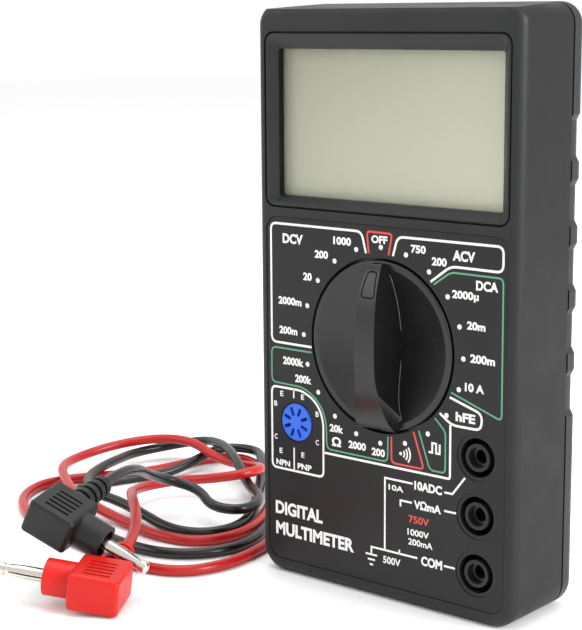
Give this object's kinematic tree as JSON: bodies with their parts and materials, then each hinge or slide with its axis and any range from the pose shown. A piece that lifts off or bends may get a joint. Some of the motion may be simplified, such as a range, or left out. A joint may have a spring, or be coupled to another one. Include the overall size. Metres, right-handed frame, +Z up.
{
  "type": "digital multimeter",
  "caption": "Hand-held digital multimeter with a rotary range selector, display window, transistor socket and plug-in red and black test leads.",
  "frame": {"origin": "middle of the meter's base, the meter standing on its lower end", "axes": "+X to the right of the front panel, -Y out of the front panel, +Z up along the meter's length"},
  "size_m": [0.2149, 0.1607, 0.1687],
  "materials": {
    "case": "fine sparked texture",
    "label": "printed satin foil",
    "bezel": "satin",
    "window": "clear acrylic",
    "lcd": "grey-green liquid crystal cell",
    "reflector": "satin",
    "holder": "moulded",
    "zebra": "striped elastomer",
    "knob": "gloss",
    "steel": "polished",
    "spring": "drawn wire",
    "contact": "plated sheet",
    "board": "solder mask",
    "socket": "satin",
    "jack": "turned",
    "fuse_glass": "clear",
    "nickel": "nickel plated",
    "shunt": "drawn wire",
    "component_black": "moulded",
    "film": "dipped",
    "electrolytic": "sleeved",
    "resistor": "lacquered",
    "trimmer": "moulded",
    "battery": "printed foil",
    "red_plastic": "satin",
    "black_plastic": "satin",
    "red_cable": "soft vinyl",
    "black_cable": "soft vinyl",
    "foam": "open foam"
  },
  "bodies": {
    "meter": {"front_case": "case", "rear_case": "case", "label_overlay": "label", "lcd_bezel": "bezel", "lcd_window": "window", "lcd_glass": "lcd", "lcd_reflector": "reflector", "lcd_holder": "holder", "zebra_strip": "zebra", "circuit_board": "board", "transistor_socket": "socket", "socket_contacts": "contact", "input_jack_10adc": "jack", "input_jack_vohm_ma": "jack", "input_jack_com": "jack", "fuse_glass": "fuse_glass", "fuse_wire": "shunt", "fuse_caps": "nickel", "fuse_clips": "nickel", "shunt_wire": "shunt", "buzzer": "component_black", "chip_blob": "component_black", "film_capacitors": "film", "electrolytic_capacitors": "electrolytic", "resistors": "resistor", "diodes": "component_black", "trimmer": "trimmer", "transistors": "component_black", "battery": "battery", "battery_terminals": "nickel", "battery_snap": "black_plastic", "battery_wire_red": "red_cable", "battery_wire_black": "black_cable", "foam_pad": "foam", "board_screws": "nickel", "case_screws": "nickel", "plug_body_black": "black_plastic", "plug_pin_black": "nickel", "plug_lantern_black": "nickel", "probe_handle_black": "black_plastic", "probe_tip_black": "nickel", "cable_black": "black_cable", "plug_body_red": "red_plastic", "plug_pin_red": "nickel", "plug_lantern_red": "nickel", "probe_handle_red": "red_plastic", "probe_tip_red": "nickel", "cable_red": "red_cable"},
    "selector": {"selector_knob": "knob", "detent_balls": "steel", "detent_springs": "spring", "wiper_contacts": "contact"}
  },
  "joints": [
    {"name": "selector_turn", "type": "hinge", "parent": "meter", "child": "selector", "pos_m": [0, 0, 0.074], "axis": [0, 1, 0], "continuous": true}
  ]
}
